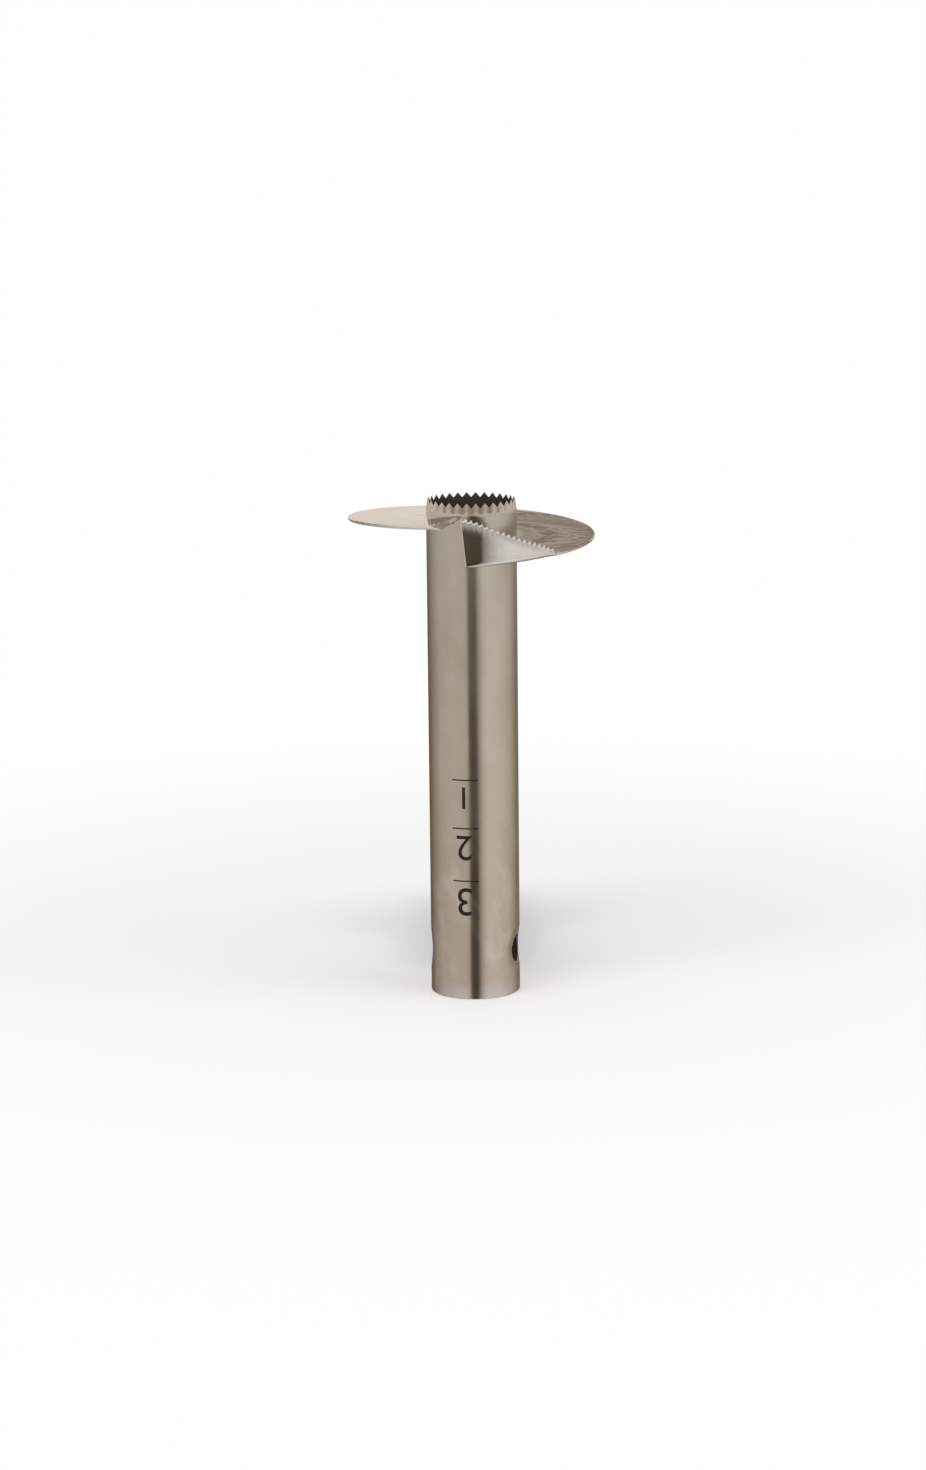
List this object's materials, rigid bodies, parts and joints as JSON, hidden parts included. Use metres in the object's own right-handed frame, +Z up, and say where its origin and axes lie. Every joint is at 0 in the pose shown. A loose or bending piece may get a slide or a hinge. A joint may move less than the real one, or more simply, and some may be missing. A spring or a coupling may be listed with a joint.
{
  "type": "pineapple slicer",
  "caption": "Steel core tube with a one-turn spiral blade and toothed flap, standing beside its unclipped T-handle with spring-loaded latch buttons.",
  "frame": {"origin": "on the floor, in the middle of the box round the slicer and its handle; the tube's axis is at y = -0.045 and the plug's axis at y = 0.033", "axes": "+Z up along the core tube towards the blade, +Y from the slicer towards the handle, +X to the right as the toothed flap is faced"},
  "size_m": [0.088, 0.178, 0.181],
  "materials": {
    "polished_steel": "polished stainless steel",
    "weld_steel": "wire-brushed weld",
    "grip_plastic": "fine-grained moulded plastic",
    "soft_grip": "matt thermoplastic rubber",
    "button_plastic": "satin moulded plastic",
    "plated_steel": "bright zinc plate"
  },
  "bodies": {
    "slicer": {"core_tube": "polished_steel", "spiral_blade": "polished_steel", "blade_weld": "weld_steel"},
    "handle": {"crown_shell": "grip_plastic", "palm_pad": "soft_grip", "neck_shell": "grip_plastic", "plug_body": "grip_plastic", "plug_cap": "grip_plastic", "grip_screw_1": "plated_steel", "grip_screw_2": "plated_steel", "plug_screw_1": "plated_steel", "plug_screw_2": "plated_steel", "cap_screw": "plated_steel"},
    "latch_right": {"latch_button_right": "button_plastic", "latch_spring_right": "plated_steel"},
    "latch_left": {"latch_button_left": "button_plastic", "latch_spring_left": "plated_steel"}
  },
  "joints": [
    {"name": "handle_lift", "type": "slide", "parent": "slicer", "child": "handle", "axis": [0, 0, 1], "range_m": [0, 0.09]},
    {"name": "latch_right_press", "type": "slide", "parent": "handle", "child": "latch_right", "axis": [-1, 0, 0], "range_m": [0, 0.0022], "stiffness_N_per_m": 800, "springref_m": -0.004, "deforming": ["latch_spring_right"]},
    {"name": "latch_left_press", "type": "slide", "parent": "handle", "child": "latch_left", "axis": [1, 0, 0], "range_m": [0, 0.0022], "stiffness_N_per_m": 800, "springref_m": -0.004, "deforming": ["latch_spring_left"]}
  ]
}
